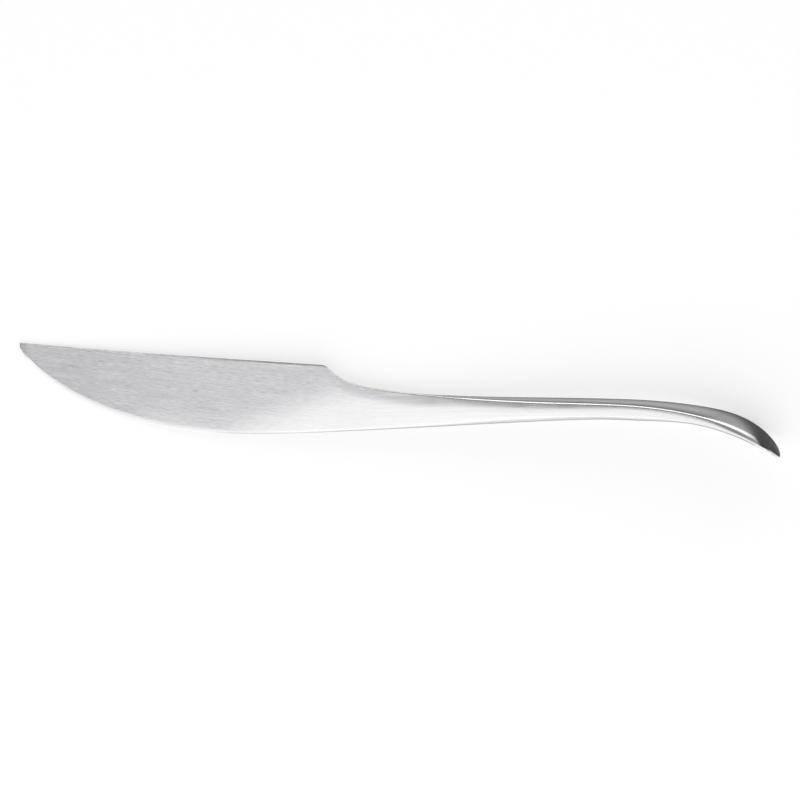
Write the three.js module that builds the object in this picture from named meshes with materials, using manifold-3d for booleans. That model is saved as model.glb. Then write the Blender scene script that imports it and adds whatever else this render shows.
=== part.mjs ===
// Table knife of stainless steel: a hardened blade whose short tang is brazed into a solid forged handle.
// The knife is drawn as it is held, in millimetres: +X runs from the blade's tip to the tail, +Z points to the
// spine, and the grip's axis is at Z 0. A turned group then lays it down on the side that it comes to rest on.

import * as THREE from 'three';
import { ConvexHull } from 'three/addons/math/ConvexHull.js';
import { mergeVertices, toCreasedNormals } from 'three/addons/utils/BufferGeometryUtils.js';
import Module from 'manifold-3d';

// Blade, with heights measured from the grip's axis
const BLADE_LENGTH = 82; // tip to shoulder
const TIP_RISE = 19.2; // spine at the tip
const TIP_HEIGHT = 1.3; // blunt end of the tip
const TIP_FALL = 6.4; // how far the edge heads down as it leaves the tip
const TIP_ADVANCE = 2.9; // and how far it heads towards the handle there
const SHOULDER_RISE = 12.6; // spine at the shoulder
const SPINE_SAG = 0.3; // hollow of the spine between tip and shoulder
const SHOULDER_RADIUS = 0.8; // rounding of the shoulder's corner
const EDGE_DROP = 7.1; // lowest point of the edge
const BELLY_REACH = 64; // tip to that lowest point
const BELLY_SWEEP = 43.2; // length of the edge's easing into it
const SPINE_THICKNESS = 1.6; // at the shoulder
const TIP_THICKNESS = 0.6; // at the tip's spine
const EDGE_THICKNESS = 0.55; // at the belly, where the ground bevel starts
const BEVEL_HEIGHT = 1.1; // ground bevel along the edge
const FLAT_LENGTH = 60; // flat sides of the blade, from the tip

// Handle
const HANDLE_LENGTH = 123; // shoulder to tail
const NECK_SLOPE = 31; // fall of the back behind the shoulder, in degrees
const NECK_REACH = 6.3; // length of that fall
const NECK_EASE = 0.5; // shoulder to where the back starts to level out
const NECK_LENGTH = 30; // shoulder to the first full oval section
const NECK_THICKNESS = 2.2; // at the shoulder
const KEEL_SWEEP = 24.5; // easing of the lower line behind the belly
const KEEL_LEVEL = 17.1; // easing of the lower line into the grip's end
const GRIP_LENGTH = 80; // shoulder to the end of the straight grip
const GRIP_THICKNESS = 5.5;
const FILL_START = 13; // shoulder to where the neck starts to fill out
const GRIP_FILL = 72; // shoulder to where the grip reaches its thickness
const GRIP_CROWN = 2.74; // back above the axis at the grip's end
const GRIP_KEEL = 2.44; // lower line below the axis there

// Tail, the handle's wide turned-down end
const BEND_LENGTH = 66; // length of the bend along X
const BEND_HOLD = 36.2; // length over which the bend leaves the grip's axis
const BEND_LEAD = 11; // length of the bend's steep last stretch along X
const BEND_FALL = 12; // and its height
const TAIL_DROP = 13.5; // axis at the tail's end below the grip's axis
const FLARE_LENGTH = 40; // length over which the tail widens, up to its round end
const FLARE_POWER = 2.66; // how late the widening comes
const TAIL_WIDTH = 10.8; // where the round end starts
const TAIL_CROWN = 2.52; // back above the axis there
const TAIL_KEEL = 1.1; // underside below the axis there
const END_LENGTH = 16.6; // the round end
const END_FULLNESS = 2.06; // 2 is an ellipse, and more is blunter

// Flat back, whose share of the handle's width grows from the neck to the tail
const BACK_START = 0.35; // at the neck's end
const BACK_END = 0.94; // where the round end starts
const BACK_GROWTH = 0.35; // under 1, the growth comes early
const BACK_DOME = 0.13; // rise of the back's middle over its rims, as a share of its half width

// Joint inside the neck
const JOINT_SETBACK = 12.5; // shoulder to the butted faces
const JOINT_GAP = 0.3; // filled by the braze
const BRAZE_CLEARANCE = 0.05; // between the braze and each steel face
const TANG_LENGTH = 10;
const TANG_HEIGHT = 4.2;
const TANG_THICKNESS = 0.8;
const TANG_ROOT = 2; // length of the tang's root inside the blade

// Fineness of the solids
const SIDE_STEPS = 11; // facets from the edge to the rim of the back on one side
const KEEL_STEPS = 6; // those of them under the widest level of the oval
const BACK_STEPS = 3; // facets from that rim to the middle of the back
const HALF_STEPS = SIDE_STEPS + BACK_STEPS;

const SHOULDER = BLADE_LENGTH;
const TAIL = BLADE_LENGTH + HANDLE_LENGTH;
const JOINT = SHOULDER + JOINT_SETBACK;
const NECK_END = SHOULDER + NECK_LENGTH;
const GRIP_END = SHOULDER + GRIP_LENGTH;
const BEND_START = TAIL - BEND_LENGTH;
const END_START = TAIL - END_LENGTH;
const FLARE_START = END_START - FLARE_LENGTH;

const { clamp, lerp, smootherstep, degToRad } = THREE.MathUtils;

// Upper outline seen from the side: the nearly straight spine, the rounded shoulder and the neck's hollow back
const spineSlope = (SHOULDER_RISE - TIP_RISE) / BLADE_LENGTH;
const neckSlope = -Math.tan(degToRad(NECK_SLOPE));
const neckRun = NECK_REACH * Math.cos(degToRad(NECK_SLOPE));
const cornerStart = new THREE.Vector2(
  SHOULDER - SHOULDER_RADIUS, SHOULDER_RISE - SHOULDER_RADIUS * spineSlope,
);
const upperOutline = new THREE.Path()
  .moveTo(0, TIP_RISE)
  .quadraticCurveTo(
    cornerStart.x / 2, (TIP_RISE + cornerStart.y) / 2 - 2 * SPINE_SAG,
    cornerStart.x, cornerStart.y,
  )
  .quadraticCurveTo(
    SHOULDER, SHOULDER_RISE,
    SHOULDER + SHOULDER_RADIUS, SHOULDER_RISE + SHOULDER_RADIUS * neckSlope,
  )
  .bezierCurveTo(
    SHOULDER + neckRun, SHOULDER_RISE + neckRun * neckSlope,
    SHOULDER + NECK_EASE, GRIP_CROWN,
    GRIP_END, GRIP_CROWN,
  );

// Lower outline: the edge from the tip to the belly, then the keel that rises to the grip
const lowerOutline = new THREE.Path()
  .moveTo(0, TIP_RISE - TIP_HEIGHT)
  .bezierCurveTo(
    TIP_ADVANCE, TIP_RISE - TIP_HEIGHT - TIP_FALL,
    BELLY_REACH - BELLY_SWEEP, -EDGE_DROP,
    BELLY_REACH, -EDGE_DROP,
  )
  .bezierCurveTo(
    BELLY_REACH + KEEL_SWEEP, -EDGE_DROP,
    GRIP_END - KEEL_LEVEL, -GRIP_KEEL,
    GRIP_END, -GRIP_KEEL,
  );

// Axis of the handle: level through the grip, then bent down to the tail's end
const axis = new THREE.Path()
  .moveTo(0, 0)
  .lineTo(BEND_START, 0)
  .bezierCurveTo(
    BEND_START + BEND_HOLD, 0,
    TAIL - BEND_LEAD, BEND_FALL - TAIL_DROP,
    TAIL, -TAIL_DROP,
  );

// Finds the curve of a path, and the place on it, that lies at a given X
function locate(path, x) {
  const last = path.curves.at(-1);
  const curve = path.curves.find((candidate) => x < candidate.getPoint(1).x) ?? last;
  let low = 0;
  let high = 1;
  for (let halving = 0; halving < 40; halving += 1) {
    const middle = (low + high) / 2;
    if (curve.getPoint(middle).x < x) {
      low = middle;
    } else {
      high = middle;
    }
  }
  return { point: curve.getPoint(high), tangent: curve.getTangent(high) };
}

// The blade's flat side passes through three thicknesses: at the tip, at the shoulder and at the belly's bevel
const bladeSide = new THREE.Plane().setFromCoplanarPoints(
  new THREE.Vector3(0, TIP_THICKNESS / 2, TIP_RISE),
  new THREE.Vector3(SHOULDER, SPINE_THICKNESS / 2, SHOULDER_RISE),
  new THREE.Vector3(BELLY_REACH, EDGE_THICKNESS / 2, BEVEL_HEIGHT - EDGE_DROP),
);

function bladeHalfThickness(x, z) {
  const { normal, constant } = bladeSide;
  return -(normal.x * x + normal.z * z + constant) / normal.y;
}

// Half of a wedge section, from the cutting edge up the bevel and the flat side, then over the flat spine
function wedgeSection(x) {
  const spine = locate(upperOutline, x).point.y;
  const edge = locate(lowerOutline, x).point.y;
  const bevelTop = edge + Math.min(BEVEL_HEIGHT, (spine - edge) / 2);
  const points = [new THREE.Vector2(0, edge)];
  for (let step = 1; step <= SIDE_STEPS; step += 1) {
    const height = lerp(bevelTop, spine, (step - 1) / (SIDE_STEPS - 1));
    points.push(new THREE.Vector2(bladeHalfThickness(x, height), height));
  }
  const rim = points.at(-1);
  for (let step = 1; step <= BACK_STEPS; step += 1) {
    points.push(new THREE.Vector2(rim.x * (1 - step / BACK_STEPS), spine));
  }
  return points;
}

// Half of an oval section with a flat back: round below, up the bulging side to the rim, then over the low dome
function ovalSection(x) {
  const intoTail = smootherstep(x, GRIP_END, END_START);
  const onGrip = Math.min(x, GRIP_END);
  const crown = lerp(locate(upperOutline, onGrip).point.y, TAIL_CROWN, intoTail);
  const keel = lerp(-locate(lowerOutline, onGrip).point.y, TAIL_KEEL, intoTail);

  const filled = smootherstep(x, SHOULDER + FILL_START, SHOULDER + GRIP_FILL);
  const flare = Math.max(0, (x - FLARE_START) / FLARE_LENGTH) ** FLARE_POWER;
  const thickness = lerp(NECK_THICKNESS, GRIP_THICKNESS, filled) + (TAIL_WIDTH - GRIP_THICKNESS) * flare;

  const alongBack = clamp((x - NECK_END) / (END_START - NECK_END), 0, 1);
  const half = thickness / 2;
  const rimHalf = half * lerp(BACK_START, BACK_END, alongBack ** BACK_GROWTH);
  const dome = BACK_DOME * rimHalf;
  const rim = crown - dome;

  const points = [];
  for (let step = 0; step < KEEL_STEPS; step += 1) {
    const angle = step / KEEL_STEPS * Math.PI / 2;
    points.push(new THREE.Vector2(half * Math.sin(angle), -keel * Math.cos(angle)));
  }
  for (let step = KEEL_STEPS; step <= SIDE_STEPS; step += 1) {
    const share = (step - KEEL_STEPS) / (SIDE_STEPS - KEEL_STEPS);
    points.push(new THREE.Vector2(half - (half - rimHalf) * share ** 2, rim * share));
  }
  for (let step = 1; step <= BACK_STEPS; step += 1) {
    const share = 1 - step / BACK_STEPS;
    points.push(new THREE.Vector2(rimHalf * share, crown - dome * share ** 4));
  }

  const intoEnd = Math.max(0, (x - END_START) / END_LENGTH);
  const closing = (1 - intoEnd ** END_FULLNESS) ** (1 / END_FULLNESS);
  points.forEach((point) => point.multiplyScalar(closing));
  return points;
}

// Whole section at X: the wedge turns into the oval along the neck, and sections stay square to the axis
function ring(x) {
  const oval = smootherstep(x, FLAT_LENGTH, NECK_END);
  const half = oval < 1 ? wedgeSection(x) : ovalSection(x);
  if (oval > 0 && oval < 1) {
    const full = ovalSection(x);
    half.forEach((point, step) => point.lerp(full[step], oval));
  }
  const { point: centre, tangent } = locate(axis, x);
  const place = (side, height) => new THREE.Vector3(
    x - height * tangent.y, side, centre.y + height * tangent.x,
  );
  const near = half.map((point) => place(-point.x, point.y));
  const far = half.slice(1, -1).reverse().map((point) => place(point.x, point.y));
  return [...near, ...far];
}

function stations(from, to, count, spread = (share) => share) {
  return Array.from({ length: count }, (_, index) => lerp(from, to, spread(index / count)));
}

// Skin over a row of rings, closed at both ends by fans around two end points
function loft(rings, start, end) {
  const size = rings[0].length;
  const points = [...rings.flat(), start, end];
  const startIndex = points.length - 2;
  const endIndex = points.length - 1;
  const lastRing = (rings.length - 1) * size;
  const triangles = [];
  for (let corner = 0; corner < size; corner += 1) {
    const next = (corner + 1) % size;
    for (let base = 0; base < lastRing; base += size) {
      triangles.push(base + corner, base + size + corner, base + next);
      triangles.push(base + next, base + size + corner, base + size + next);
    }
    triangles.push(startIndex, corner, next);
    triangles.push(endIndex, lastRing + next, lastRing + corner);
  }
  const geometry = new THREE.BufferGeometry().setFromPoints(points);
  geometry.setIndex(triangles);
  return geometry;
}

function loftBetween(places) {
  const middle = (x) => {
    const points = ring(x);
    return points[0].clone().lerp(points[HALF_STEPS], 0.5);
  };
  return loft(places.map(ring), middle(places[0]), middle(places.at(-1)));
}

function block(from, to, thickness, height) {
  const geometry = new THREE.BoxGeometry(to - from, thickness, height);
  return geometry.translate((from + to) / 2, 0, 0);
}

// Booleans
const wasm = await Module();
wasm.setup();

function solid(geometry) {
  const bare = geometry.clone();
  bare.deleteAttribute('normal');
  bare.deleteAttribute('uv');
  const merged = mergeVertices(bare);
  return new wasm.Manifold(new wasm.Mesh({
    numProp: 3,
    vertProperties: new Float32Array(merged.attributes.position.array),
    triVerts: new Uint32Array(merged.index.array),
  }));
}

function geometryOf(body) {
  const { vertProperties, triVerts } = body.getMesh();
  const geometry = new THREE.BufferGeometry();
  geometry.setAttribute('position', new THREE.BufferAttribute(new Float32Array(vertProperties), 3));
  geometry.setIndex(new THREE.BufferAttribute(new Uint32Array(triVerts), 1));
  return geometry;
}

function piece(name, body, finish) {
  const geometry = toCreasedNormals(geometryOf(body), degToRad(25));
  const mesh = new THREE.Mesh(geometry, new THREE.MeshStandardMaterial(finish));
  mesh.name = name;
  return mesh;
}

// Blade with its tang
const bladeFace = JOINT - JOINT_GAP / 2;
const handleFace = JOINT + JOINT_GAP / 2;
const tangEnd = bladeFace + TANG_LENGTH;
const bladeSkin = loftBetween([
  ...stations(0, SHOULDER - SHOULDER_RADIUS, 17, (share) => share ** 1.7),
  ...stations(SHOULDER - SHOULDER_RADIUS, SHOULDER + SHOULDER_RADIUS, 4),
  ...stations(SHOULDER + SHOULDER_RADIUS, bladeFace, 6),
  bladeFace,
]);
const tang = block(bladeFace - TANG_ROOT, tangEnd, TANG_THICKNESS, TANG_HEIGHT);
const blade = piece('blade', solid(bladeSkin).add(solid(tang)), {
  color: 0xd5d5d8, roughness: 0.38, metalness: 1,
});

// Handle with the blind socket for the tang
const handleRings = [
  ...stations(handleFace, NECK_END, 8),
  ...stations(NECK_END, BEND_START, 10),
  ...stations(BEND_START, END_START, 14),
  ...stations(END_START, TAIL, 8, (share) => Math.sin(share * Math.PI / 2)),
].map(ring);
const handleFaceCentre = handleRings[0][0].clone().lerp(handleRings[0][HALF_STEPS], 0.5);
const handleSkin = loft(handleRings, handleFaceCentre, new THREE.Vector3(TAIL, 0, -TAIL_DROP));
const socket = block(
  bladeFace, tangEnd + JOINT_GAP, TANG_THICKNESS + 2 * JOINT_GAP, TANG_HEIGHT + 2 * JOINT_GAP,
);
const handle = piece('handle', solid(handleSkin).subtract(solid(socket)), {
  color: 0xe2e2e2, roughness: 0.2, metalness: 1,
});

// Braze: a wafer between the butted faces and a cup round the tang
const wafer = loftBetween([bladeFace + BRAZE_CLEARANCE, handleFace - BRAZE_CLEARANCE]);
const cupWall = 2 * (JOINT_GAP - BRAZE_CLEARANCE);
const cup = block(
  bladeFace + BRAZE_CLEARANCE, tangEnd + JOINT_GAP - BRAZE_CLEARANCE,
  TANG_THICKNESS + cupWall, TANG_HEIGHT + cupWall,
);
const tangRoom = block(
  bladeFace - TANG_ROOT, tangEnd + BRAZE_CLEARANCE,
  TANG_THICKNESS + 2 * BRAZE_CLEARANCE, TANG_HEIGHT + 2 * BRAZE_CLEARANCE,
);
const braze = piece('braze', solid(wafer).add(solid(cup)).subtract(solid(tangRoom)), {
  color: 0xdedbd6, roughness: 0.3, metalness: 1,
});

const knife = new THREE.Group();
knife.add(blade, braze, handle);

// Centre of mass of the steel, summed over the tetrahedra under each triangle
function massCentre(meshes) {
  const centre = new THREE.Vector3();
  const corners = [new THREE.Vector3(), new THREE.Vector3(), new THREE.Vector3()];
  const across = new THREE.Vector3();
  let volume = 0;
  for (const { geometry } of meshes) {
    const positions = geometry.attributes.position;
    for (let index = 0; index < positions.count; index += 3) {
      corners.forEach((corner, offset) => corner.fromBufferAttribute(positions, index + offset));
      const share = corners[0].dot(across.crossVectors(corners[1], corners[2])) / 6;
      volume += share;
      corners.forEach((corner) => centre.addScaledVector(corner, share / 4));
    }
  }
  return centre.divideScalar(volume);
}

// The knife rests on the face of its convex hull that lies under its centre of mass, on the far side
function restingNormal(group) {
  const { faces } = new ConvexHull().setFromObject(group);
  const centre = massCentre(group.children);
  const hit = new THREE.Vector3();
  const under = (face, ray) => {
    const [a, b, c] = [0, 1, 2].map((index) => face.getEdge(index).head().point);
    return ray.intersectTriangle(a, b, c, false, hit) !== null;
  };
  let down = new THREE.Vector3(0, 1, 0);
  for (let round = 0; round < 4; round += 1) {
    const ray = new THREE.Ray(centre, down);
    down = faces.find((face) => under(face, ray)).normal;
  }
  return down;
}

// Lays the knife on the ground, with its length along X and the middle of its box over the origin
const up = restingNormal(knife).clone().negate();
const along = new THREE.Vector3(1, 0, 0).projectOnPlane(up).normalize();
const across = new THREE.Vector3().crossVectors(up, along);
const lying = new THREE.Matrix4().makeBasis(along, across, up);
knife.quaternion.setFromRotationMatrix(lying).invert();
const box = new THREE.Box3().setFromObject(knife, true);
const middle = box.getCenter(new THREE.Vector3());
knife.position.set(-middle.x, -middle.y, -box.min.z);

const tableKnife = new THREE.Group();
tableKnife.add(knife);

export default tableKnife;
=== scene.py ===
import math

import bpy
from mathutils import Matrix, Vector


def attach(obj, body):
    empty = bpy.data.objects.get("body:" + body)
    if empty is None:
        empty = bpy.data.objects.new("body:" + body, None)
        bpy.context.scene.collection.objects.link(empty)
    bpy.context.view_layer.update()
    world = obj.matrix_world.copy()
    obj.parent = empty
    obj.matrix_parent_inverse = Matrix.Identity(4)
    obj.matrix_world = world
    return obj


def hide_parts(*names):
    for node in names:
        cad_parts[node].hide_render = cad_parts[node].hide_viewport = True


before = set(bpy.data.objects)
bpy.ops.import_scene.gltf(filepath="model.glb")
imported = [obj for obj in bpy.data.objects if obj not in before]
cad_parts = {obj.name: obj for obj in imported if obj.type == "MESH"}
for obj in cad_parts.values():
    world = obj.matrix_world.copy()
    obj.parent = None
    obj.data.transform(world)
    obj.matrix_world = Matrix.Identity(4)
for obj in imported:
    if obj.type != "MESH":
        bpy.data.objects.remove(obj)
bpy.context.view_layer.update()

# Blade
# The blade is one piece of hardened stainless steel, ground to a thin wedge and brushed lengthwise, with a
# bright bevel along its curved edge. Behind the shoulder it swells into the neck, and a short tang stands on
# its hidden end face, for the handle's socket.

BLADE_LENGTH = 0.082
TIP_RISE = 0.0192
TIP_HEIGHT = 0.0013
TIP_FALL = 0.0064
TIP_ADVANCE = 0.0029
TIP_ROUNDING = 0.0003
SHOULDER_RISE = 0.0126
SPINE_SAG = 0.0003
SHOULDER_RADIUS = 0.0008
EDGE_DROP = 0.0071
BELLY_REACH = 0.064
BELLY_SWEEP = 0.0432
SPINE_THICKNESS = 0.0016
TIP_THICKNESS = 0.0006
EDGE_THICKNESS = 0.00055
BEVEL_HEIGHT = 0.0011
SPINE_ROUNDING = 0.00016
SPINE_ROUNDING_SHARE = 0.6
FLAT_LENGTH = 0.060

# The neck and the grip are ground flush with the blade, so one pair of outlines runs through them all.
HANDLE_LENGTH = 0.123
NECK_SLOPE = math.radians(31)
NECK_REACH = 0.0063
NECK_EASE = 0.0005
NECK_LENGTH = 0.030
NECK_THICKNESS = 0.0022
KEEL_SWEEP = 0.0245
KEEL_LEVEL = 0.0171
GRIP_LENGTH = 0.080
GRIP_THICKNESS = 0.0055
FILL_START = 0.013
GRIP_FILL = 0.072
GRIP_CROWN = 0.00274
GRIP_KEEL = 0.00244

# The tail widens and turns down, and the flat back widens with it.
BEND_LENGTH = 0.066
BEND_HOLD = 0.0362
BEND_LEAD = 0.011
BEND_FALL = 0.012
TAIL_DROP = 0.0135
FLARE_LENGTH = 0.040
FLARE_POWER = 2.66
TAIL_WIDTH = 0.0108
TAIL_CROWN = 0.00252
TAIL_KEEL = 0.0011
END_LENGTH = 0.0166
END_FULLNESS = 2.06
BACK_START = 0.35
BACK_END = 0.94
BACK_GROWTH = 0.35
BACK_DOME = 0.13
DOME_POWER = 4
RIM_ROUNDING = 0.00032
RIM_ROUNDING_SHARE = 0.5
TAIL_RIM_ROUNDING = 0.00105
RIM_GROWTH = (0.181, 0.194)
RIM_RETURN = (0.199, 0.2025)

SHOULDER = BLADE_LENGTH
TAIL = BLADE_LENGTH + HANDLE_LENGTH
NECK_END = SHOULDER + NECK_LENGTH
GRIP_END = SHOULDER + GRIP_LENGTH
BEND_START = TAIL - BEND_LENGTH
END_START = TAIL - END_LENGTH
FLARE_START = END_START - FLARE_LENGTH

spine_slope = (SHOULDER_RISE - TIP_RISE) / BLADE_LENGTH
neck_slope = -math.tan(NECK_SLOPE)
neck_run = NECK_REACH * math.cos(NECK_SLOPE)
tip_top = Vector((0, TIP_RISE))
corner_start = Vector((SHOULDER - SHOULDER_RADIUS, SHOULDER_RISE - SHOULDER_RADIUS * spine_slope))
corner_end = Vector((SHOULDER + SHOULDER_RADIUS, SHOULDER_RISE + SHOULDER_RADIUS * neck_slope))
spine_middle = tip_top.lerp(corner_start, 0.5) - Vector((0, 2 * SPINE_SAG))
upper_outline = [
    [tip_top, spine_middle, corner_start],
    [corner_start, Vector((SHOULDER, SHOULDER_RISE)), corner_end],
    [
        corner_end,
        Vector((SHOULDER + neck_run, SHOULDER_RISE + neck_run * neck_slope)),
        Vector((SHOULDER + NECK_EASE, GRIP_CROWN)),
        Vector((GRIP_END, GRIP_CROWN)),
    ],
]
tip_bottom = Vector((0, TIP_RISE - TIP_HEIGHT))
belly = Vector((BELLY_REACH, -EDGE_DROP))
lower_outline = [
    [
        tip_bottom,
        tip_bottom + Vector((TIP_ADVANCE, -TIP_FALL)),
        belly - Vector((BELLY_SWEEP, 0)),
        belly,
    ],
    [
        belly,
        belly + Vector((KEEL_SWEEP, 0)),
        Vector((GRIP_END - KEEL_LEVEL, -GRIP_KEEL)),
        Vector((GRIP_END, -GRIP_KEEL)),
    ],
]
grip_axis = [
    [Vector((0, 0)), Vector((BEND_START, 0))],
    [
        Vector((BEND_START, 0)),
        Vector((BEND_START + BEND_HOLD, 0)),
        Vector((TAIL - BEND_LEAD, BEND_FALL - TAIL_DROP)),
        Vector((TAIL, -TAIL_DROP)),
    ],
]


def curve_pair(curve, share):
    """The last two points of a Bezier curve's construction: they give its place and its direction."""
    while len(curve) > 2:
        curve = [a.lerp(b, share) for a, b in zip(curve, curve[1:])]
    return curve


HALVINGS = 36


def on_outline(outline, x):
    """Height and direction of an outline, a row of Bezier curves, where it passes X."""
    curve = next((part for part in outline if x < part[-1].x), outline[-1])
    low, high = 0.0, 1.0
    for _ in range(HALVINGS):
        middle = (low + high) / 2
        start, end = curve_pair(curve, middle)
        if start.lerp(end, middle).x < x:
            low = middle
        else:
            high = middle
    start, end = curve_pair(curve, high)
    return start.lerp(end, high).y, (end - start).normalized()


def mix(a, b, share):
    """A value that lies a share of the way from one value to another."""
    return a + (b - a) * share


def share_of(value, start, end):
    """How far a value is from a start to an end, held between 0 and 1."""
    return min(max((value - start) / (end - start), 0.0), 1.0)


def ease(value, start, end):
    """The same share with a soft start and a soft end."""
    share = share_of(value, start, end)
    return share ** 3 * (share * (share * 6 - 15) + 10)


# The flat side is a plane through the half thicknesses at the tip, the shoulder and the belly's bevel.
side_tip = Vector((0, TIP_RISE, TIP_THICKNESS / 2))
side_shoulder = Vector((SHOULDER, SHOULDER_RISE, SPINE_THICKNESS / 2))
side_belly = Vector((BELLY_REACH, BEVEL_HEIGHT - EDGE_DROP, EDGE_THICKNESS / 2))
side_normal = (side_shoulder - side_tip).cross(side_belly - side_tip)


def flat_half(x, height):
    """Half thickness between the two flat sides of the blade."""
    return side_tip.z - (side_normal.x * x + side_normal.y * (height - TIP_RISE)) / side_normal.z


BEVEL_LEVELS = 8
BEVEL_CREASE = 0.00006
SIDE_LEVELS = 32
RIM_LEVELS = 6
BACK_LEVELS = 8
SIDE_TOP = BEVEL_LEVELS + SIDE_LEVELS + 1
BACK_EDGE = SIDE_TOP + RIM_LEVELS


def side_heights(low, bevel_top, high):
    """Heights up one side, close together at the lower line, over the bevel and again under the rim."""
    heights = [mix(low, bevel_top, (step / BEVEL_LEVELS) ** 2) for step in range(BEVEL_LEVELS + 1)]
    for step in range(SIDE_LEVELS + 1):
        share = math.sin(step / SIDE_LEVELS * math.pi / 2)
        heights.append(mix(bevel_top + BEVEL_CREASE, high, share))
    return heights


def over_the_back(side, rim, rounding, back_height):
    """Carries a side on over its rounded rim and along the back to the middle."""
    inner = rim.x - rounding
    back_edge = Vector((inner, back_height(inner)))
    start = side[-1]
    for step in range(1, RIM_LEVELS + 1):
        first, second = curve_pair([start, rim, back_edge], step / RIM_LEVELS)
        side.append(first.lerp(second, step / RIM_LEVELS))
    for step in range(1, BACK_LEVELS + 1):
        across = inner * (1 - step / BACK_LEVELS)
        side.append(Vector((across, back_height(across))))
    return side


def wedge_section(x):
    """Half of the ground blade: up the bevel and the flat side, then over the spine."""
    spine = on_outline(upper_outline, x)[0]
    edge = on_outline(lower_outline, x)[0]
    bevel = min(BEVEL_HEIGHT, (spine - edge) / 2)
    rounding = min(SPINE_ROUNDING, SPINE_ROUNDING_SHARE * flat_half(x, spine))
    side = []
    for height in side_heights(edge, edge + bevel, spine - rounding):
        half = flat_half(x, max(height, edge + bevel)) * min((height - edge) / bevel, 1.0)
        side.append(Vector((half, height)))
    section = over_the_back(side, Vector((flat_half(x, spine), spine)), rounding, lambda across: spine)
    nose = min(x / TIP_ROUNDING, 1.0)
    return [Vector((point.x * math.sqrt(nose * (2 - nose)), point.y)) for point in section]


def oval_section(x):
    """Half of the neck, grip or tail: round below, up the side to the rim, then over the back's low dome."""
    into_tail = ease(x, GRIP_END, END_START)
    crown = mix(on_outline(upper_outline, min(x, GRIP_END))[0], TAIL_CROWN, into_tail)
    keel = mix(-on_outline(lower_outline, min(x, GRIP_END))[0], TAIL_KEEL, into_tail)
    flare = max(0.0, (x - FLARE_START) / FLARE_LENGTH) ** FLARE_POWER
    filled = ease(x, SHOULDER + FILL_START, SHOULDER + GRIP_FILL)
    half = mix(NECK_THICKNESS, GRIP_THICKNESS, filled) / 2 + (TAIL_WIDTH - GRIP_THICKNESS) / 2 * flare
    rim_half = half * mix(BACK_START, BACK_END, share_of(x, NECK_END, END_START) ** BACK_GROWTH)
    dome = BACK_DOME * rim_half
    rim_height = crown - dome
    grown = ease(x, *RIM_GROWTH) - ease(x, *RIM_RETURN)
    rounding = mix(RIM_ROUNDING, TAIL_RIM_ROUNDING, grown)
    rounding = min(rounding, RIM_ROUNDING_SHARE * rim_half)
    side = []
    for height in side_heights(-keel, min(BEVEL_HEIGHT, keel / 2) - keel, rim_height - rounding):
        if height > 0:
            side.append(Vector((half - (half - rim_half) * (height / rim_height) ** 2, height)))
        else:
            side.append(Vector((half * math.sqrt(max(1 - (height / keel) ** 2, 0.0)), height)))
    section = over_the_back(
        side, Vector((rim_half, rim_height)), rounding,
        lambda across: crown - dome * (across / rim_half) ** DOME_POWER,
    )
    into_end = share_of(x, END_START, TAIL)
    closing = (1 - into_end ** END_FULLNESS) ** (1 / END_FULLNESS)
    return [point * closing for point in section]


def half_section(x):
    """Near half of the knife's section at X: the wedge turns into the oval along the neck."""
    oval_share = ease(x, FLAT_LENGTH, NECK_END)
    if oval_share == 0:
        return wedge_section(x)
    if oval_share == 1:
        return oval_section(x)
    return [a.lerp(b, oval_share) for a, b in zip(wedge_section(x), oval_section(x))]


# The brushed finish of the blade fades into the polish of the neck across a slanting line and a little
# towards the edge, and stays longest along the top of the neck. The ground bevel is brightest at the edge,
# and the rims behind the shoulder are bright.
POLISH_LOW = Vector((0.0608, -0.0049))
POLISH_HIGH = Vector((0.0867, 0.0055))
POLISH_SOFTNESS = 0.0100
EDGE_POLISH = 0.40
EDGE_BAND = 0.009
EDGE_BAND_START = (0.020, 0.048)
SPINE_POLISH = 0.30
SPINE_BAND = 0.0013
SPINE_BAND_START = (0.055, 0.072)
TOP_BAND = 0.0048
TOP_BAND_FADE = (0.096, 0.126)
BEVEL_START = (0.0005, 0.003)
BEVEL_FADE = (0.060, 0.072)
BEVEL_TOP_POLISH = 0.40
SLOPE_LEAD = 0.0015


def polish_at(x, point, low, high, step):
    """How far the steel is polished at a point of a section: 0 is brushed and 1 is polished."""
    line = (POLISH_HIGH - POLISH_LOW).normalized()
    past = (x - POLISH_LOW.x) * line.y - (point.y - POLISH_LOW.y) * line.x
    polish = ease(past, -POLISH_SOFTNESS, POLISH_SOFTNESS)
    near_edge = EDGE_POLISH * (1 - share_of(point.y - low, 0, EDGE_BAND)) ** 2 * ease(x, *EDGE_BAND_START)
    near_spine = SPINE_POLISH * (1 - share_of(high - point.y, 0, SPINE_BAND)) * ease(x, *SPINE_BAND_START)
    polish = max(polish, near_edge, near_spine)
    if x > SHOULDER:
        under_top = ease(high - point.y, 0, TOP_BAND)
        polish *= mix(under_top, 1.0, ease(x, *TOP_BAND_FADE))
        if step >= SIDE_TOP:
            polish = ease(x, SHOULDER, SHOULDER + SLOPE_LEAD)
    if step <= BEVEL_LEVELS:
        ground = mix(1.0, BEVEL_TOP_POLISH, (step / BEVEL_LEVELS) ** 2)
        polish = max(polish, ground * (ease(x, *BEVEL_START) - ease(x, *BEVEL_FADE)))
    return polish


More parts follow.
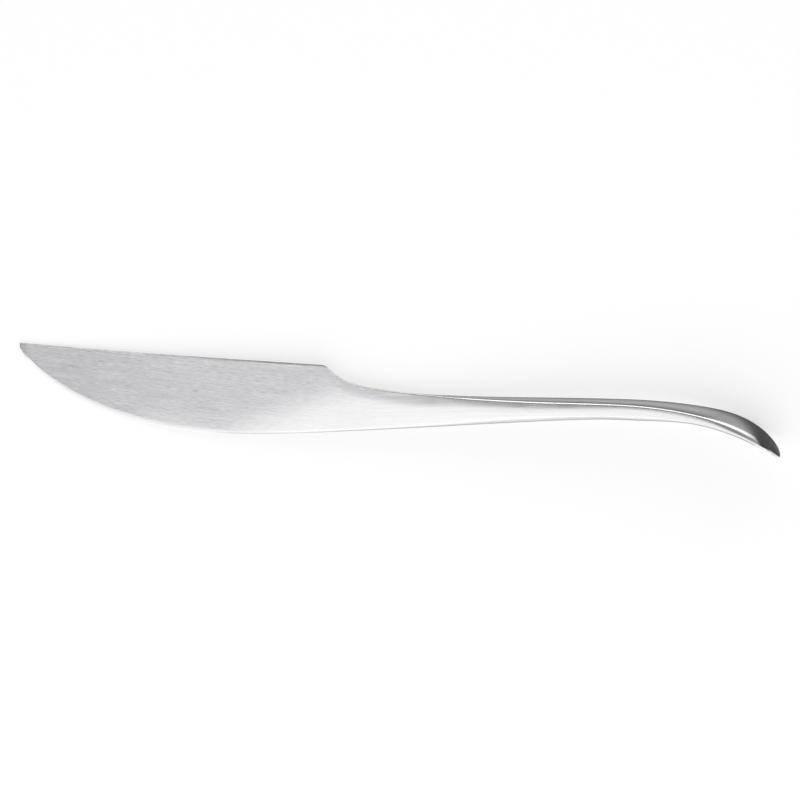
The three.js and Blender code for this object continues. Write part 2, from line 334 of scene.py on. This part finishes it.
# The brushed steel is a little darker towards the tip. A painted dark reflection runs as a fine line over
# the bevel there, and a painted shade line runs along the lower line of the heel and the handle, where the
# sides turn under at the camera's lean. Painted highlights make the sides a little lighter along the top of
# the neck and at the foot of the grip's rim.
BRUSHED_TIP_TONE = 0.93
BRUSHED_HEEL_TONE = 1.07
BRUSHED_RISE = (0.008, 0.048)
TIP_TONE = 0.86
TIP_FADE = (0.0010, 0.0035)
CREASE_PAINTED_REFLECTION = 0.72
CREASE_REFLECTION_FADE = (0.003, 0.010)
NECK_TOP_PAINTED_HIGHLIGHT = 1.14
NECK_TOP_HIGHLIGHT_BAND = 0.0024
NECK_TOP_HIGHLIGHT_START = (0.088, 0.096)
NECK_TOP_HIGHLIGHT_END = (0.126, 0.150)
RIM_FOOT_PAINTED_HIGHLIGHT = 1.22
RIM_FOOT_HIGHLIGHT_BAND = 0.0016
RIM_FOOT_HIGHLIGHT_START = (0.116, 0.138)
RIM_FOOT_HIGHLIGHT_END = (0.182, 0.191)
LOWER_PAINTED_SHADE = 0.60
LOWER_SHADE_LINE = (0.00018, 0.00036)
HIDDEN_SHADE_SHARPNESS = 5
LOWER_SHADE_START = (0.050, 0.058)
LOWER_SHADE_FULL = (0.085, 0.112)
LOWER_SHADE_FIRST = 0.55
LOWER_SHADE_END = (0.196, 0.2005)
TURNING_UNDER = math.radians(21)


def side_tone_and_painted_light(x, half, step, polish, level):
    """How light a side is at a step of a section, next to the polished steel's full tone, with painted light
    in it.
    """
    tone_and_painted_light = mix(mix(BRUSHED_TIP_TONE, BRUSHED_HEEL_TONE, share_of(x, *BRUSHED_RISE)), 1.0, polish)
    tone_and_painted_light *= mix(TIP_TONE, 1.0, ease(x, *TIP_FADE))
    # A painted dark reflection darkens the bevel's crease near the tip.
    if step in (BEVEL_LEVELS, BEVEL_LEVELS + 1):
        tone_and_painted_light *= mix(CREASE_PAINTED_REFLECTION, 1.0, ease(x, *CREASE_REFLECTION_FADE))
    # A painted highlight lightens the side under the top of the neck.
    neck_highlight_mask = 1 - ease(half[-1].y - half[step].y, 0, NECK_TOP_HIGHLIGHT_BAND)
    tone_and_painted_light *= mix(1.0, NECK_TOP_PAINTED_HIGHLIGHT, neck_highlight_mask * (ease(x, *NECK_TOP_HIGHLIGHT_START) - ease(x, *NECK_TOP_HIGHLIGHT_END)))
    # A painted highlight lightens the side at the foot of the grip's rim.
    rim_foot_highlight_mask = 1 - ease(half[SIDE_TOP - 1].y - half[step].y, 0, RIM_FOOT_HIGHLIGHT_BAND)
    tone_and_painted_light *= mix(1.0, RIM_FOOT_PAINTED_HIGHLIGHT, rim_foot_highlight_mask * (ease(x, *RIM_FOOT_HIGHLIGHT_START) - ease(x, *RIM_FOOT_HIGHLIGHT_END)))

    # A painted shade line darkens the side where it turns under as seen at the camera's lean.
    across = [
        point.y * level * math.cos(TURNING_UNDER) - point.x * math.sin(TURNING_UNDER)
        for point in half[:SIDE_TOP]
    ]
    lowest = min(across)
    hidden = step < across.index(lowest)
    from_turn = (across[step] - lowest) * (HIDDEN_SHADE_SHARPNESS if hidden else 1)
    painted_shade_under = 1 - ease(from_turn, *LOWER_SHADE_LINE)
    painted_shade_under *= mix(LOWER_SHADE_FIRST * ease(x, *LOWER_SHADE_START), 1.0, ease(x, *LOWER_SHADE_FULL))
    painted_shade_under *= 1 - ease(x, *LOWER_SHADE_END)
    return tone_and_painted_light * mix(1.0, LOWER_PAINTED_SHADE, painted_shade_under)


# The spine darkens towards the shoulder with a painted dark reflection. On the slope behind it the back is
# as light as the sides, and on the handle it carries a painted reflection of the shaded floor, darker than
# they
# are: lightest between its middle and its near rim, and darkest on the leaf at the tail's end, which cuts
# the bright near rim off at a slant. Along the neck the rims get painted shade.
SPINE_PAINTED_REFLECTION = 0.95
SPINE_REFLECTION_DARKENS = (0.024, 0.074)
SLOPE_END = (0.102, 0.116)
BACK_FAR_PAINTED_REFLECTION = 0.11
BACK_NEAR_PAINTED_REFLECTION = 0.20
BACK_PEAK_PAINTED_REFLECTION = 0.57
BACK_PEAK = 0.62
TAIL_NEAR_PAINTED_REFLECTION = 0.48
TAIL_PEAK_PAINTED_REFLECTION = 0.46
TAIL_CHANGES = (0.181, 0.191)
LEAF_PAINTED_REFLECTION = 0.10
LEAF_FAR = (0.185, 0.2005)
LEAF_NEAR = (0.1935, 0.1995)
LEAF_RIM_TOP = (0.1956, 0.1980)
LEAF_RIM_FOOT = (0.1988, 0.2000)
RIM_PAINTED_SHADE = 0.75
RIM_SHADE_START = (0.090, 0.104)
RIM_SHADE_END = (0.114, 0.1235)


def painted_back_reflection(x, step, far):
    """How light the rims and the back are painted at a step of a section: painted reflection and painted
    shade.
    """
    from_middle = 1 - max(step - BACK_EDGE, 0) / BACK_LEVELS
    nearness = (1 - from_middle if far else 1 + from_middle) / 2
    # Painted shade darkens the rims along the neck.
    tone_and_painted_light = mix(1.0, RIM_PAINTED_SHADE, ease(x, *RIM_SHADE_START) - ease(x, *RIM_SHADE_END))
    # The back carries a painted reflection of the shaded floor behind the knife.
    if step >= BACK_EDGE:
        at_tail = ease(x, *TAIL_CHANGES)
        if nearness < BACK_PEAK:
            from_peak = 1 - nearness / BACK_PEAK
            tone_and_painted_light = BACK_FAR_PAINTED_REFLECTION
        else:
            from_peak = (nearness - BACK_PEAK) / (1 - BACK_PEAK)
            tone_and_painted_light = mix(BACK_NEAR_PAINTED_REFLECTION, TAIL_NEAR_PAINTED_REFLECTION, at_tail)
        peak_tone = mix(BACK_PEAK_PAINTED_REFLECTION, TAIL_PEAK_PAINTED_REFLECTION, at_tail)
        tone_and_painted_light = mix(tone_and_painted_light, peak_tone, math.cos(from_peak * math.pi / 2))
        tone_and_painted_light = mix(SPINE_PAINTED_REFLECTION, tone_and_painted_light, ease(x, *SPINE_REFLECTION_DARKENS))
        on_slope = ease(x, SHOULDER, SHOULDER + SLOPE_LEAD) - ease(x, *SLOPE_END)
        tone_and_painted_light = mix(tone_and_painted_light, 1.0, on_slope)
    # The leaf at the tail's end carries the darkest painted reflection.
    leaf = [mix(start, end, nearness) for start, end in zip(LEAF_FAR, LEAF_NEAR)]
    if step < BACK_EDGE and not far:
        down_the_rim = (BACK_EDGE - step) / RIM_LEVELS
        leaf = [mix(top, foot, down_the_rim) for top, foot in zip(LEAF_RIM_TOP, LEAF_RIM_FOOT)]
    return mix(tone_and_painted_light, LEAF_PAINTED_REFLECTION, ease(x, *leaf))


FAR_SIDE_SHIFT = 0.5
SAME_PLACE = 1e-7


def roll_skin(name, places):
    """A grid rolled round the knife between the given places, with its seam along the lower line."""
    halves = [half_section(x) for x in places]
    axis = [on_outline(grip_axis, x) for x in places]
    top = len(halves[0]) - 1
    bpy.ops.object.select_all(action="DESELECT")
    bpy.ops.mesh.primitive_grid_add(x_subdivisions=len(places) - 1, y_subdivisions=2 * top, size=2)
    skin = bpy.context.object
    skin.name = name
    skin.data.name = name
    polish = skin.data.attributes.new("polish", "FLOAT", "POINT")
    # The tone attribute holds the steel's tone with painted highlights, painted shade and painted
    # reflections in it.
    tone_and_painted_light = skin.data.attributes.new("tone_and_painted_light", "FLOAT", "POINT")
    corners = []
    for vertex in skin.data.vertices:
        row = round((vertex.co.x + 1) / 2 * (len(places) - 1))
        column = round((vertex.co.y + 1) * top)
        step = min(column, 2 * top - column)
        x, half = places[row], halves[row]
        point = half[step]
        height, along = axis[row]
        vertex.co = (
            x - point.y * along.y, height + point.y * along.x, point.x if column <= top else -point.x,
        )
        finish = polish_at(x, point, half[0].y, half[-1].y, step)
        on_side = step < SIDE_TOP
        polish.data[vertex.index].value = finish
        tone_and_painted_light.data[vertex.index].value = (
            side_tone_and_painted_light(x, half, step, finish, along.x) if on_side else painted_back_reflection(x, step, column > top)
        )
        girth = sum((above - below).length for below, above in zip(half[:step], half[1:]))
        corners.append((x, girth, column))
    grain_map = skin.data.uv_layers.active
    grain_map.name = "grain"
    for face in skin.data.polygons:
        far = max(corners[index][2] for index in face.vertices) > top
        for loop in face.loop_indices:
            x, girth, _ = corners[skin.data.loops[loop].vertex_index]
            grain_map.data[loop].uv = (x + FAR_SIDE_SHIFT if far else x, girth)
    return skin


def select_open_end():
    """Closes the seam along the lower line and selects the edges that are still open."""
    bpy.ops.object.mode_set(mode="EDIT")
    bpy.ops.mesh.select_all(action="SELECT")
    bpy.ops.mesh.remove_doubles(threshold=SAME_PLACE)
    bpy.ops.mesh.select_all(action="DESELECT")
    bpy.ops.mesh.select_mode(type="EDGE")
    bpy.ops.mesh.select_non_manifold()


def draw_out(reach, height_share, thickness_share):
    """Scales a copy of the selected end face about the axis and draws it out along X."""
    bpy.ops.mesh.extrude_region_move(TRANSFORM_OT_translate={"value": (0, 0, 0)})
    bpy.ops.transform.resize(value=(1, height_share, thickness_share), center_override=(0, 0, 0))
    bpy.ops.mesh.extrude_region_move(TRANSFORM_OT_translate={"value": (reach, 0, 0)})


# The knife lies on its far side, on the tail's rim and on the edge near the tip, so it leans a little.
NOSE_DOWN = math.radians(2.1028)
SPINE_UP = math.radians(2.9673)
AXIS_UNDER_TIP = Vector((-0.1024600, -0.0028539, -0.0006330))
lying = Matrix.Rotation(-NOSE_DOWN, 3, "Y") @ Matrix.Rotation(SPINE_UP, 3, "X")


def lay_down(piece, crease):
    """Turns the faces outwards, smooths the skin and lays the piece on the floor with the others."""
    bpy.ops.mesh.select_all(action="SELECT")
    bpy.ops.mesh.normals_make_consistent(inside=False)
    bpy.ops.object.mode_set(mode="OBJECT")
    bpy.ops.object.shade_smooth_by_angle(angle=crease)
    piece.matrix_world = Matrix.Translation(AXIS_UNDER_TIP) @ lying.to_4x4()
    bpy.ops.object.transform_apply(location=True, rotation=True, scale=True)


def spread(start, end, count, bias=1.0):
    """Places from a start up to an end, closer together at the start where the bias is over 1."""
    return [mix(start, end, (step / count) ** bias) for step in range(count)]


JOINT_SETBACK = 0.0125
JOINT_GAP = 0.0003
JOINT = SHOULDER + JOINT_SETBACK
BLADE_FACE = JOINT - JOINT_GAP / 2
HANDLE_FACE = JOINT + JOINT_GAP / 2
TANG_LENGTH = 0.010
TANG_HEIGHT = 0.0042
TANG_THICKNESS = 0.0008
CREASE = math.radians(24)
TIP_ROWS = 4
TIP_BIAS = 2
BLADE_ROWS = 120
BLADE_BIAS = 1.5
SHOULDER_ROWS = 12
HEEL_ROWS = 24

joint_half = half_section(JOINT)
joint_height = joint_half[-1].y - joint_half[0].y
joint_thickness = 2 * max(point.x for point in joint_half)

blade = roll_skin("blade", [
    *spread(0, TIP_ROUNDING, TIP_ROWS, TIP_BIAS),
    *spread(TIP_ROUNDING, SHOULDER - SHOULDER_RADIUS, BLADE_ROWS, BLADE_BIAS),
    *spread(SHOULDER - SHOULDER_RADIUS, SHOULDER + SHOULDER_RADIUS, SHOULDER_ROWS),
    *spread(SHOULDER + SHOULDER_RADIUS, BLADE_FACE, HEEL_ROWS),
    BLADE_FACE,
])
select_open_end()
bpy.ops.mesh.edge_face_add()
draw_out(TANG_LENGTH, TANG_HEIGHT / joint_height, TANG_THICKNESS / joint_thickness)
lay_down(blade, CREASE)


def place_node(tree, kind, values=None, links=None, **options):
    """Adds a node, sets its options and sockets, and links other nodes' outputs to it."""
    node = tree.nodes.new(kind)
    for option, value in options.items():
        setattr(node, option, value)
    for socket, value in (values or {}).items():
        node.inputs[socket].default_value = value
    for socket, source in (links or {}).items():
        tree.links.new(source, node.inputs[socket])
    return node


def set_or_link(tree, node, sockets):
    """Sets each socket to a number, or links another node's output to it."""
    for socket, source in sockets:
        if isinstance(source, (int, float)):
            node.inputs[socket].default_value = source
        else:
            tree.links.new(source, node.inputs[socket])


def math_node(tree, operation, first, second, third=0.0):
    """A Math node, whose inputs are numbers or other nodes' outputs."""
    node = place_node(tree, "ShaderNodeMath", operation=operation)
    set_or_link(tree, node, ((0, first), (1, second), (2, third)))
    return node.outputs[0]


def range_node(tree, value, low, high, at_low=0.0, at_high=1.0):
    """Carries a value from one range into another and holds it there."""
    node = place_node(tree, "ShaderNodeMapRange")
    set_or_link(tree, node, (
        ("Value", value), ("From Min", low), ("From Max", high), ("To Min", at_low), ("To Max", at_high),
    ))
    return node.outputs[0]


def new_group(name, inputs, outputs):
    """A node group with its sockets, and the ends of the sockets inside it."""
    group = bpy.data.node_groups.new(name, "ShaderNodeTree")
    for socket, kind in inputs:
        group.interface.new_socket(name=socket, in_out="INPUT", socket_type=kind)
    for socket in outputs:
        group.interface.new_socket(name=socket, in_out="OUTPUT", socket_type="NodeSocketFloat")
    return group, group.nodes.new("NodeGroupInput").outputs, group.nodes.new("NodeGroupOutput").inputs


# Fine lines that a brush or a polishing belt leaves along the steel, wandering a little as they go.
GRAIN_WANDER = 0.0012
WANDERS_PER_METRE = 60.0
LINE_DETAIL = 5.0
LINE_ROUGHNESS = 0.62
NOISE_MIDDLE = 0.5

grain, given, made = new_group(
    "lengthwise grain",
    [("Place", "NodeSocketVector"), ("Length", "NodeSocketFloat"), ("Width", "NodeSocketFloat")],
    ["Lines"],
)
wander = place_node(
    grain, "ShaderNodeTexNoise", {"Scale": WANDERS_PER_METRE, "Detail": 1.0}, {"Vector": given["Place"]},
)
drift = math_node(
    grain, "MULTIPLY", math_node(grain, "SUBTRACT", wander.outputs["Fac"], NOISE_MIDDLE), GRAIN_WANDER,
)
spot = place_node(grain, "ShaderNodeSeparateXYZ", links={0: given["Place"]})
lines_at = place_node(grain, "ShaderNodeCombineXYZ", links={
    "X": math_node(grain, "DIVIDE", spot.outputs["X"], given["Length"]),
    "Y": math_node(grain, "DIVIDE", math_node(grain, "ADD", spot.outputs["Y"], drift), given["Width"]),
    "Z": spot.outputs["Z"],
})
lines = place_node(
    grain, "ShaderNodeTexNoise", {"Scale": 1.0, "Detail": LINE_DETAIL, "Roughness": LINE_ROUGHNESS},
    {"Vector": lines_at.outputs[0]},
)
grain.links.new(lines.outputs["Fac"], made["Lines"])

# Marks of use: short scratches in two directions, small dark specks and soft smudges.
SCRATCHES_PER_METRE = (70, 650, 650)
SCRATCH_TURNS = (math.radians(24), math.radians(-38))
SCRATCH_SPOT = (0.04, 0.09)
SCRATCH_RARITY = 0.7
SPECKS_PER_METRE = 95.0
SPECK_SPOT = (0.02, 0.045)
SPECK_RARITY = 0.72
SMUDGES_PER_METRE = 85.0
SMUDGE_DETAIL = 4.0
SMUDGE_SOFTNESS = 0.6

wear, given, made = new_group(
    "marks of use", [("Place", "NodeSocketVector")], ["Scratches", "Specks", "Smudges"],
)


def sparse_cells(place, scale, spot, rarity):
    """Spots round the middles of some cells: 1 at the middle and 0 outside."""
    cells = place_node(wear, "ShaderNodeTexVoronoi", {"Scale": scale}, {"Vector": place})
    near = range_node(wear, cells.outputs["Distance"], *spot, 1.0, 0.0)
    chance = place_node(wear, "ShaderNodeSeparateColor", links={0: cells.outputs["Color"]})
    picked = math_node(wear, "GREATER_THAN", chance.outputs[0], rarity)
    return math_node(wear, "MULTIPLY", near, picked)


scratches = []
for turn in SCRATCH_TURNS:
    turned = place_node(
        wear, "ShaderNodeMapping", {"Rotation": (0, 0, turn), "Scale": SCRATCHES_PER_METRE},
        {"Vector": given["Place"]},
    )
    scratches.append(sparse_cells(turned.outputs[0], 1.0, SCRATCH_SPOT, SCRATCH_RARITY))
wear.links.new(math_node(wear, "MAXIMUM", *scratches), made["Scratches"])
specks = sparse_cells(given["Place"], SPECKS_PER_METRE, SPECK_SPOT, SPECK_RARITY)
wear.links.new(specks, made["Specks"])
smudges = place_node(
    wear, "ShaderNodeTexNoise",
    {"Scale": SMUDGES_PER_METRE, "Detail": SMUDGE_DETAIL, "Roughness": SMUDGE_SOFTNESS},
    {"Vector": given["Place"]},
)
wear.links.new(smudges.outputs["Fac"], made["Smudges"])

BRUSHED_COLOR = (0.665, 0.665, 0.687, 1.0)
POLISHED_COLOR = (0.76, 0.76, 0.76, 1.0)
BRUSHED_ROUGHNESS = 0.5
POLISHED_ROUGHNESS = 0.19
GRAIN_STRETCH = 0.8
GRAIN_TURN = 0.25
POLISHED_GRAIN = 0.22
BROAD_SHARE = 0.6
RAGGED_BORDER = 0.25
SMUDGE_NOISE = (0.3, 0.7)
SMUDGE_TONES = (0.965, 1.02)
SPECK_TONE = 0.55
SCRATCH_TONE = 0.88
RIDGE_SHINE = -0.25
SCRATCH_ROUGHNESS = 0.12
GREASE_NOISE = (0.4, 0.75)
GREASE_ROUGHNESS = 0.06
DARK_TONES = (0.4, 1.0)
DARK_ROUGHNESS = 0.12
SCRATCH_DEPTH = -0.3
BUMP_STRENGTH = 0.25
BUMP_DEPTH = 0.00003

# Where the tone paints the darkest reflections, the steel reflects less at a low angle too.
PAINTED_DARK_EDGE_TINT = 0.56
PAINTED_DARK_TINT_TONES = (0.20, 0.5)

# The colour sockets of a Mix node have no names of their own.
MIX_FROM = 6
MIX_TO = 7
MIX_RESULT = 2


def steel(name, grain_place, broad_lines, fine_lines):
    """Steel that goes from brushed to polished, with lines of two sizes along it, marks of use and painted
    light.
    """
    material = bpy.data.materials.new(name)
    material.use_nodes = True
    tree = material.node_tree
    shader = tree.nodes["Principled BSDF"]
    shader.inputs["Metallic"].default_value = 1.0
    shader.inputs["Anisotropic"].default_value = GRAIN_STRETCH
    shader.inputs["Anisotropic Rotation"].default_value = GRAIN_TURN
    along = place_node(tree, "ShaderNodeTangent", direction_type="UV_MAP", uv_map="grain")
    tree.links.new(along.outputs[0], shader.inputs["Tangent"])

    lines = []
    for length, width in (broad_lines, fine_lines):
        node = place_node(
            tree, "ShaderNodeGroup", node_tree=grain, values={"Length": length, "Width": width},
            links={"Place": grain_place(tree)},
        )
        lines.append(math_node(tree, "SUBTRACT", node.outputs["Lines"], NOISE_MIDDLE))
    both_lines = math_node(tree, "MULTIPLY_ADD", lines[0], BROAD_SHARE, lines[1])
    polish = place_node(tree, "ShaderNodeAttribute", attribute_name="polish").outputs["Fac"]
    polish = math_node(tree, "MULTIPLY_ADD", lines[0], RAGGED_BORDER, polish)
    polish = range_node(tree, polish, 0.0, 1.0)
    depth = range_node(tree, polish, 0.0, 1.0, 1.0, POLISHED_GRAIN)
    relief = math_node(tree, "MULTIPLY", both_lines, depth)
    # The tone attribute brings painted highlights, painted shade and painted reflections into the colour.
    tone_and_painted_light = place_node(tree, "ShaderNodeAttribute", attribute_name="tone_and_painted_light").outputs["Fac"]
    body = place_node(tree, "ShaderNodeTexCoord").outputs["Object"]
    use = place_node(tree, "ShaderNodeGroup", node_tree=wear, links={"Place": body}).outputs

    light = math_node(tree, "ADD", relief, 1.0)
    for shade in (
        tone_and_painted_light,
        range_node(tree, use["Smudges"], *SMUDGE_NOISE, *SMUDGE_TONES),
        range_node(tree, use["Specks"], 0.0, 1.0, 1.0, SPECK_TONE),
        range_node(tree, use["Scratches"], 0.0, 1.0, 1.0, SCRATCH_TONE),
    ):
        light = math_node(tree, "MULTIPLY", light, shade)
    finish = place_node(tree, "ShaderNodeMix", data_type="RGBA", links={0: polish})
    finish.inputs[MIX_FROM].default_value = BRUSHED_COLOR
    finish.inputs[MIX_TO].default_value = POLISHED_COLOR
    color = place_node(
        tree, "ShaderNodeVectorMath", operation="SCALE",
        links={"Vector": finish.outputs[MIX_RESULT], "Scale": light},
    )
    tree.links.new(color.outputs[0], shader.inputs["Base Color"])

    roughness = range_node(tree, polish, 0.0, 1.0, BRUSHED_ROUGHNESS, POLISHED_ROUGHNESS)
    roughness = math_node(tree, "MULTIPLY_ADD", relief, RIDGE_SHINE, roughness)
    roughness = math_node(tree, "MULTIPLY_ADD", use["Scratches"], SCRATCH_ROUGHNESS, roughness)
    grease = range_node(tree, use["Smudges"], *GREASE_NOISE, 0.0, GREASE_ROUGHNESS)
    roughness = math_node(tree, "ADD", roughness, grease)
    # Where the tone paints the darkest reflections, the steel is also rougher.
    darkness = range_node(tree, tone_and_painted_light, *DARK_TONES, DARK_ROUGHNESS, 0.0)
    roughness = math_node(tree, "ADD", roughness, darkness)
    tree.links.new(roughness, shader.inputs["Roughness"])

    # Lower edge tint where the tone paints dark reflections.
    painted_dark_tint = range_node(tree, tone_and_painted_light, *PAINTED_DARK_TINT_TONES, PAINTED_DARK_EDGE_TINT, 1.0)
    tree.links.new(painted_dark_tint, shader.inputs["Specular Tint"])

    height = math_node(tree, "MULTIPLY_ADD", use["Scratches"], SCRATCH_DEPTH, relief)
    bump = place_node(
        tree, "ShaderNodeBump", {"Strength": BUMP_STRENGTH, "Distance": BUMP_DEPTH}, {"Height": height},
    )
    tree.links.new(bump.outputs["Normal"], shader.inputs["Normal"])
    return material


# Length and width of the broad and the fine lines that the brushing leaves
BRUSHING_BROAD = (0.014, 0.00025)
BRUSHING_FINE = (0.0020, 0.00013)
BRUSHING_FALL = math.radians(8.5)


def along_the_blade(tree):
    """Brushing on the blade runs straight and falls a little towards the heel."""
    body = place_node(tree, "ShaderNodeTexCoord")
    turned = place_node(
        tree, "ShaderNodeMapping", {"Rotation": (0, 0, BRUSHING_FALL)},
        {"Vector": body.outputs["Object"]},
    )
    return turned.outputs[0]


blade_steel = steel("brushed blade steel", along_the_blade, BRUSHING_BROAD, BRUSHING_FINE)
blade.data.materials.append(blade_steel)
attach(blade, "root")
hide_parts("blade")

# Braze
# A film of pale brazing alloy fills the gap between the two butted faces and the socket round the tang. It
# is ground and polished flush with the steel, so no seam shows.

BRAZE_CLEARANCE = 0.00005
AT_THE_END = 1e-6

# Length and width of the broad and the fine lines that the polishing leaves
POLISHING_BROAD = (0.030, 0.0008)
POLISHING_FINE = (0.008, 0.00020)

braze = roll_skin("braze", [BLADE_FACE, HANDLE_FACE])
select_open_end()
bpy.ops.mesh.select_mode(type="VERT")
bpy.ops.object.mode_set(mode="OBJECT")
for end, reach, growth in (
    (BLADE_FACE, TANG_LENGTH, 2 * BRAZE_CLEARANCE),
    (HANDLE_FACE, TANG_LENGTH - BRAZE_CLEARANCE, 2 * (JOINT_GAP - BRAZE_CLEARANCE)),
):
    for vertex in braze.data.vertices:
        vertex.select = abs(vertex.co.x - end) < AT_THE_END
    bpy.ops.object.mode_set(mode="EDIT")
    bpy.ops.mesh.edge_face_add()
    draw_out(
        reach, (TANG_HEIGHT + growth) / joint_height, (TANG_THICKNESS + growth) / joint_thickness,
    )
    bpy.ops.mesh.select_all(action="DESELECT")
    bpy.ops.object.mode_set(mode="OBJECT")
bpy.ops.object.mode_set(mode="EDIT")
lay_down(braze, CREASE)


def along_the_grip(tree):
    """Polishing lines on the neck and the handle follow their outlines."""
    return place_node(tree, "ShaderNodeUVMap", uv_map="grain").outputs[0]


braze_alloy = steel("braze alloy", along_the_grip, POLISHING_BROAD, POLISHING_FINE)
braze.data.materials.append(braze_alloy)
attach(braze, "root")
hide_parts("braze")

# Handle
# The handle is solid forged stainless steel with a smooth satin polish. Its back is a flat that widens from
# the neck to the turned-down tail, and a blind socket in its front face holds the blade's tang.

NECK_ROWS = 36
GRIP_ROWS = 56
BEND_ROWS = 84
END_ROWS = 60

handle = roll_skin("handle", [
    *spread(HANDLE_FACE, NECK_END, NECK_ROWS),
    *spread(NECK_END, BEND_START, GRIP_ROWS),
    *spread(BEND_START, END_START, BEND_ROWS),
    *[mix(END_START, TAIL, math.sin(row / END_ROWS * math.pi / 2)) for row in range(END_ROWS + 1)],
])
select_open_end()
bpy.ops.mesh.edge_face_add()
draw_out(
    TANG_LENGTH,
    (TANG_HEIGHT + 2 * JOINT_GAP) / joint_height,
    (TANG_THICKNESS + 2 * JOINT_GAP) / joint_thickness,
)
lay_down(handle, CREASE)

handle_steel = steel("satin handle steel", along_the_grip, POLISHING_BROAD, POLISHING_FINE)
handle.data.materials.append(handle_steel)
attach(handle, "root")
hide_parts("handle")

# Floor
# A plain studio floor, painted pale. It glows for the camera and for the steel, so that it reads as white
# and still keeps a faint shadow of the knife.

FLOOR_SIZE = 8
FLOOR_COLOR = (0.50, 0.50, 0.50, 1.0)
FLOOR_ROUGHNESS = 0.9
FLOOR_GLOW = 0.575
GLOW_COLOR = (1.0, 1.0, 1.0, 1.0)

bpy.ops.object.select_all(action="DESELECT")
bpy.ops.mesh.primitive_plane_add(size=FLOOR_SIZE)
floor = bpy.context.object
floor.name = "floor"
floor_paint = bpy.data.materials.new("floor paint")
floor_paint.use_nodes = True
tree = floor_paint.node_tree
shader = tree.nodes["Principled BSDF"]
shader.inputs["Base Color"].default_value = FLOOR_COLOR
shader.inputs["Roughness"].default_value = FLOOR_ROUGHNESS
shader.inputs["Specular IOR Level"].default_value = 0.0
shader.inputs["Emission Color"].default_value = GLOW_COLOR
rays = place_node(tree, "ShaderNodeLightPath")
seen = place_node(
    tree, "ShaderNodeMath", operation="MAXIMUM",
    links={0: rays.outputs["Is Camera Ray"], 1: rays.outputs["Is Glossy Ray"]},
)
seen = place_node(
    tree, "ShaderNodeMath", operation="MAXIMUM",
    links={0: seen.outputs[0], 1: rays.outputs["Is Transmission Ray"]},
)
glow = place_node(
    tree, "ShaderNodeMath", operation="MULTIPLY", links={0: seen.outputs[0]}, values={1: FLOOR_GLOW},
)
tree.links.new(glow.outputs[0], shader.inputs["Emission Strength"])
floor.data.materials.append(floor_paint)

# Light
# A large soft panel stands in front of the knife and reaches over it, and a long strip shines low from
# behind along the rim of the back. The studio round them is pale near the floor and darker above.

PANEL_DISTANCE = 1.0
PANEL_RISE = math.radians(56)
PANEL_WIDTH = 2.0
PANEL_HEIGHT = 1.4
PANEL_RADIANCE = 0.95

STRIP_DISTANCE = 1.0
STRIP_RISE = math.radians(16)
STRIP_WIDTH = 1.8
STRIP_HEIGHT = 0.36
STRIP_RADIANCE = 1.6

# How far up the walls are pale and from where they are dark, with the two tones
PALE_UP_TO = 0.42
PALE_WALL = (0.95, 0.95, 0.95, 1)
DARK_FROM = 0.55
DARK_WALL = (0.28, 0.28, 0.28, 1)


def hang_panel(name, turn, distance, rise, width, height, radiance):
    """A soft panel that faces the knife, at a distance, a rise over the floor and a turn round the knife."""
    lamp = bpy.data.lights.new(name, "AREA")
    lamp.shape = "RECTANGLE"
    lamp.size = width
    lamp.size_y = height
    lamp.energy = radiance * math.pi * width * height
    panel = bpy.data.objects.new(name, lamp)
    bpy.context.collection.objects.link(panel)
    facing = Matrix.Rotation(turn, 3, "Z") @ Matrix.Rotation(math.pi / 2 - rise, 3, "X")
    panel.rotation_euler = facing.to_euler()
    panel.location = facing @ Vector((0, 0, distance))
    return panel


hang_panel("front panel", 0, PANEL_DISTANCE, PANEL_RISE, PANEL_WIDTH, PANEL_HEIGHT, PANEL_RADIANCE)
hang_panel("back strip", math.pi, STRIP_DISTANCE, STRIP_RISE, STRIP_WIDTH, STRIP_HEIGHT, STRIP_RADIANCE)

studio = bpy.data.worlds.new("studio")
bpy.context.scene.world = studio
studio.use_nodes = True
tree = studio.node_tree
direction = place_node(tree, "ShaderNodeTexCoord")
upward = place_node(tree, "ShaderNodeSeparateXYZ", links={0: direction.outputs["Generated"]})
walls = place_node(tree, "ShaderNodeValToRGB", links={0: upward.outputs["Z"]})
pale, dark = walls.color_ramp.elements
pale.position = PALE_UP_TO
pale.color = PALE_WALL
dark.position = DARK_FROM
dark.color = DARK_WALL
tree.links.new(walls.outputs["Color"], tree.nodes["Background"].inputs["Color"])

# Camera
# It looks at the near side of the knife from a little above the spine, through a long lens.

PICTURE_SIZE = 800
TIP_PIXEL = 20
TAIL_PIXEL = 780
AXIS_PIXEL = 409.4
VIEW_LEAN = math.radians(21)
CAMERA_DISTANCE = 10
SENSOR = 36

pixel = TAIL / (TAIL_PIXEL - TIP_PIXEL)
aim = Vector((
    (PICTURE_SIZE / 2 - TIP_PIXEL) * pixel,
    (AXIS_PIXEL - PICTURE_SIZE / 2) * pixel / math.cos(VIEW_LEAN),
    0,
))
looking = Matrix.Rotation(-VIEW_LEAN, 3, "X")
lens = bpy.data.cameras.new("camera")
lens.sensor_width = SENSOR
lens.lens = SENSOR * CAMERA_DISTANCE / (PICTURE_SIZE * pixel)
camera = bpy.data.objects.new("camera", lens)
bpy.context.collection.objects.link(camera)
camera.rotation_euler = (lying @ looking).to_euler()
camera.location = lying @ (aim + looking @ Vector((0, 0, CAMERA_DISTANCE))) + AXIS_UNDER_TIP
scene = bpy.context.scene
scene.camera = camera
scene.view_settings.view_transform = "Standard"
